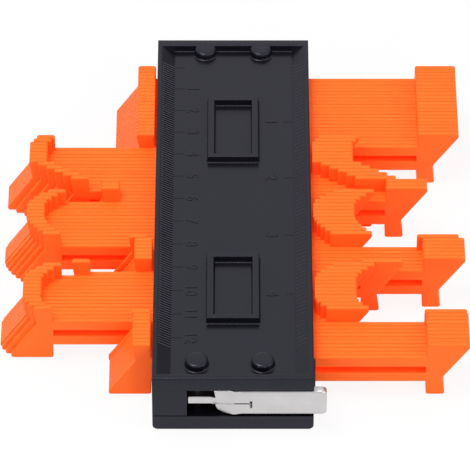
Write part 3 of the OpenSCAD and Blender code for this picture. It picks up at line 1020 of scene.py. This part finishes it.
FLOOR_SIZE = 4.0
FLOOR_GLOW = 0.9
FLOOR_WAVES = 3
FLOOR_DARK = (0.89, 0.89, 0.89)
FLOOR_LIGHT = (0.91, 0.91, 0.91)
FLOOR_ROUGH = 0.8
WORLD_LIGHT = 0.7
DIM_FROM = 0.6
DIM_TO = 0.95
DIM_SIDES = (
    ((0.707, 0.707, 0), 0.3),
    ((-0.707, 0.707, 0), 0.7),
    ((-0.98, -0.2, 0), 0.25),
    ((0, -0.98, 0.2), 0.6),
)


def seen_rays(tree, kinds):
    """1 for a ray of one of these kinds and 0 for any other, from the light path."""
    path = tree.nodes.new("ShaderNodeLightPath")
    first, *others = [path.outputs[kind] for kind in kinds]
    for other in others:
        first = combined(tree, "MAXIMUM", first, other)
    return first


def levelled(tree, value, low, high):
    """The value, from 0 to 1, carried to low and high."""
    ranged = tree.nodes.new("ShaderNodeMapRange")
    ranged.inputs["To Min"].default_value = low
    ranged.inputs["To Max"].default_value = high
    tree.links.new(value, ranged.inputs["Value"])
    return ranged.outputs["Result"]


def pale_floor():
    """A white floor, seen mostly as a plain white glow; the rest keeps a shadow."""
    material, tree, shader, place = new_material("pale_floor")
    cloud = noise(tree, place, FLOOR_WAVES, detail=1)
    tree.links.new(tinted(tree, cloud, FLOOR_DARK, FLOOR_LIGHT), shader.inputs["Base Color"])
    shader.inputs["Roughness"].default_value = FLOOR_ROUGH
    seen = seen_rays(tree, ("Is Camera Ray", "Is Glossy Ray", "Is Transmission Ray"))
    glow = tree.nodes.new("ShaderNodeEmission")
    mix = tree.nodes.new("ShaderNodeMixShader")
    tree.links.new(levelled(tree, seen, 0, FLOOR_GLOW), mix.inputs["Fac"])
    tree.links.new(shader.outputs["BSDF"], mix.inputs[1])
    tree.links.new(glow.outputs["Emission"], mix.inputs[2])
    tree.links.new(mix.outputs["Shader"], tree.nodes["Material Output"].inputs["Surface"])
    return material


corner = FLOOR_SIZE / 2
floor_mesh = bpy.data.meshes.new("floor")
floor_points = [(-corner, -corner, 0), (corner, -corner, 0), (corner, corner, 0), (-corner, corner, 0)]
floor_mesh.from_pydata(floor_points, [], [(0, 1, 2, 3)])
floor_mesh.materials.append(pale_floor())
floor = bpy.data.objects.new("floor", floor_mesh)
bpy.context.scene.collection.objects.link(floor)


def studio_world():
    """White surroundings: plain white where seen or mirrored, softer as a light.

    The corners behind the gauge, its left and its front are dimmer, as in a
    room, except where the camera sees them. Each of these sides is given by
    its direction and by the level that is left there.
    """
    world = bpy.data.worlds.new("studio")
    world.use_nodes = True
    tree = world.node_tree
    direction = tree.nodes.new("ShaderNodeTexCoord").outputs["Generated"]
    mirrored = seen_rays(tree, ("Is Glossy Ray", "Is Transmission Ray"))
    level = levelled(tree, mirrored, WORLD_LIGHT, 1.0)
    for side_direction, side_level in DIM_SIDES:
        towards = tree.nodes.new("ShaderNodeVectorMath")
        towards.operation = "DOT_PRODUCT"
        towards.inputs[1].default_value = side_direction
        tree.links.new(direction, towards.inputs[0])
        dimmed = tree.nodes.new("ShaderNodeMapRange")
        dimmed.interpolation_type = "SMOOTHSTEP"
        dimmed.inputs["From Min"].default_value = DIM_FROM
        dimmed.inputs["From Max"].default_value = DIM_TO
        dimmed.inputs["To Min"].default_value = 1.0
        dimmed.inputs["To Max"].default_value = side_level
        tree.links.new(towards.outputs["Value"], dimmed.inputs["Value"])
        level = combined(tree, "MULTIPLY", level, dimmed.outputs["Result"])
    level = combined(tree, "MAXIMUM", level, seen_rays(tree, ("Is Camera Ray",)))
    background = tree.nodes["Background"]
    background.inputs["Color"].default_value = (1, 1, 1, 1)
    tree.links.new(level, background.inputs["Strength"])
    bpy.context.scene.world = world


studio_world()

# %% Lamps

LAMP_AIM = (0, 0, 0.01)


def soft_lamp(name, place, size, power):
    """A square area lamp at a place in metres, pointed at the gauge."""
    data = bpy.data.lights.new(name, "AREA")
    data.shape = "SQUARE"
    data.size = size
    data.energy = power
    lamp = bpy.data.objects.new(name, data)
    lamp.location = place
    lamp.rotation_euler = (Vector(LAMP_AIM) - Vector(place)).to_track_quat("-Z", "Y").to_euler()
    bpy.context.scene.collection.objects.link(lamp)


soft_lamp("overhead", (-0.25, -0.05, 0.9), size=0.4, power=4.2)
soft_lamp("front_left", (-0.6, -0.75, 0.42), size=0.14, power=0.75)
soft_lamp("front_right", (0.33, -0.9, 0.46), size=0.14, power=0.8)
soft_lamp("side_glint", (0.75, -0.3, 0.51), size=0.3, power=0.9)

# %% Camera at the photograph's angle

PHOTO_SIZE = 470
FOCAL_PX = 4602
DISTANCE = 1375
ELEVATION = np.radians(42.3)
ORIGIN_PX = (233.1, 252.2)

look = np.array([0, np.cos(ELEVATION), -np.sin(ELEVATION)])
right = np.array([1, 0, 0])
up = np.array([0, np.sin(ELEVATION), np.cos(ELEVATION)])
per_px = DISTANCE / FOCAL_PX
aim_right = (PHOTO_SIZE / 2 - ORIGIN_PX[0]) * per_px
aim_up = (ORIGIN_PX[1] - PHOTO_SIZE / 2) * per_px
aim = right * aim_right + up * aim_up

camera_data = bpy.data.cameras.new("camera")
camera_data.sensor_width = 36
camera_data.lens = camera_data.sensor_width * FOCAL_PX / PHOTO_SIZE
camera_data.clip_end = 20
camera = bpy.data.objects.new("camera", camera_data)
camera.location = (aim - look * DISTANCE) * MM
camera.rotation_euler = Vector(look).to_track_quat("-Z", "Y").to_euler()
bpy.context.scene.collection.objects.link(camera)
bpy.context.scene.camera = camera
bpy.context.scene.view_settings.view_transform = "Standard"
print("camera at", [round(c, 4) for c in camera.location], "lens", round(camera_data.lens, 1))
